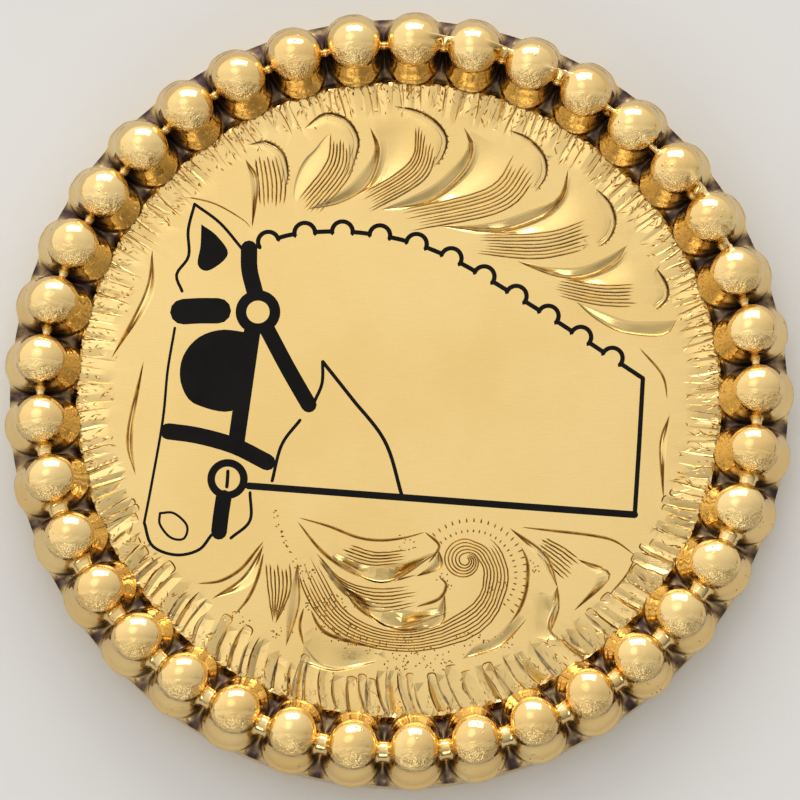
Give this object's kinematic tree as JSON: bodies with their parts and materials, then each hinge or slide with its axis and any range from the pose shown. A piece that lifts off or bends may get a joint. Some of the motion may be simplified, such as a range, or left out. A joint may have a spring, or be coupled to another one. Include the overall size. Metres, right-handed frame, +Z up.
{
  "type": "concho",
  "caption": "Round engraved concho with a rim of beads round a flat face that carries an inlaid horse's head, and a screw socket in its shallow hollow back.",
  "frame": {"origin": "middle of the underside, on the surface that the concho lies on", "axes": "+Z up out of the engraved face, +Y towards the top of the picture, +X to its right"},
  "size_m": [0.0381, 0.038, 0.0042],
  "materials": {
    "plate": "brushed gold-coloured face, engraved, with dark patina in the deepest cuts",
    "beads": "polished gold-coloured beads with dark purple-brown patina between them",
    "inlay": "black enamel or paint fill, satin"
  },
  "bodies": {
    "root": {"engraved_plate": "plate", "bead_rim": "beads"}
  },
  "joints": []
}
